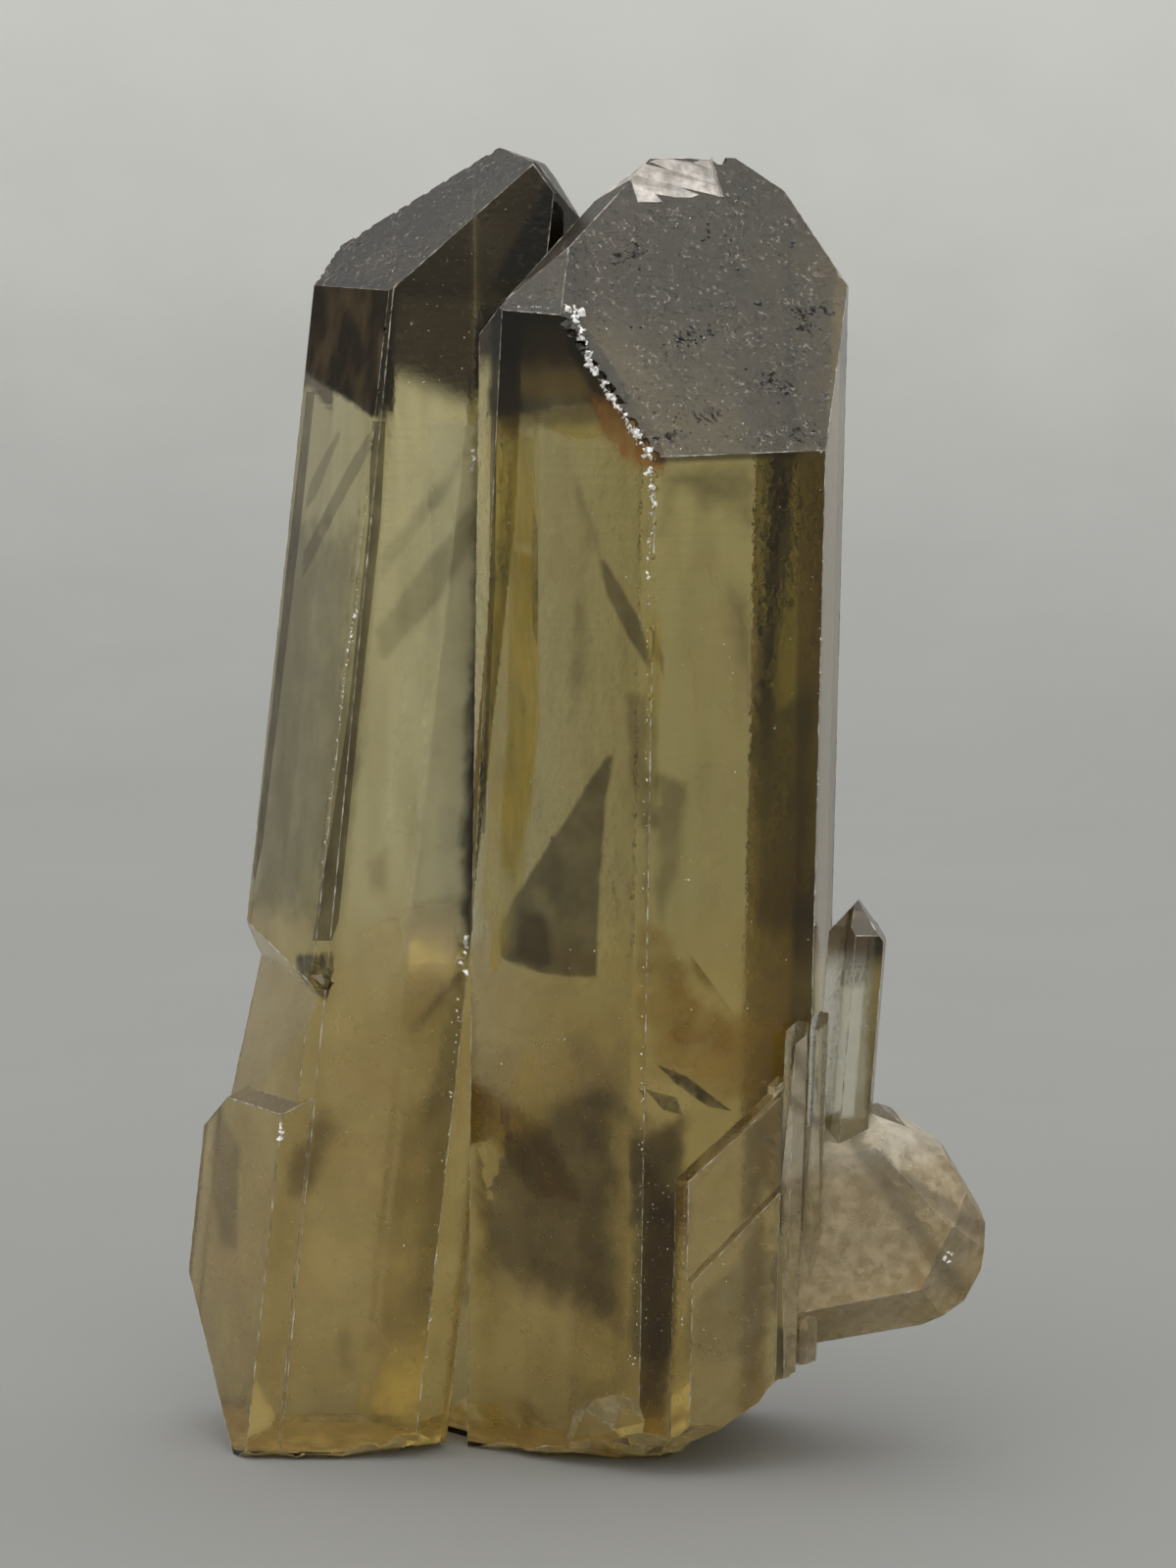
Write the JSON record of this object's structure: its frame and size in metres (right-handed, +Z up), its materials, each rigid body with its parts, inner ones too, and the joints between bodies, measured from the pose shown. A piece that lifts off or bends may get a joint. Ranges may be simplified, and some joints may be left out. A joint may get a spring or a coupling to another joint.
{
  "type": "smoky citrine cluster",
  "caption": "Cluster of upright smoky citrine quartz crystals grown together, with slanted pointed tips, a small side crystal and a rough base; stands as a display piece.",
  "frame": {"origin": "centre of the bounding box in plan, at the flat-cut base", "axes": "+Z up along the crystals, front towards -Y, small side crystal towards +X"},
  "size_m": [0.0482, 0.0242, 0.0777],
  "materials": {
    "smoky_quartz": "clear smoky yellow-green, dark gray tips, frosted pits, cloudy tan base"
  },
  "bodies": {
    "root": {"crystal_cluster": "smoky_quartz"}
  },
  "joints": []
}
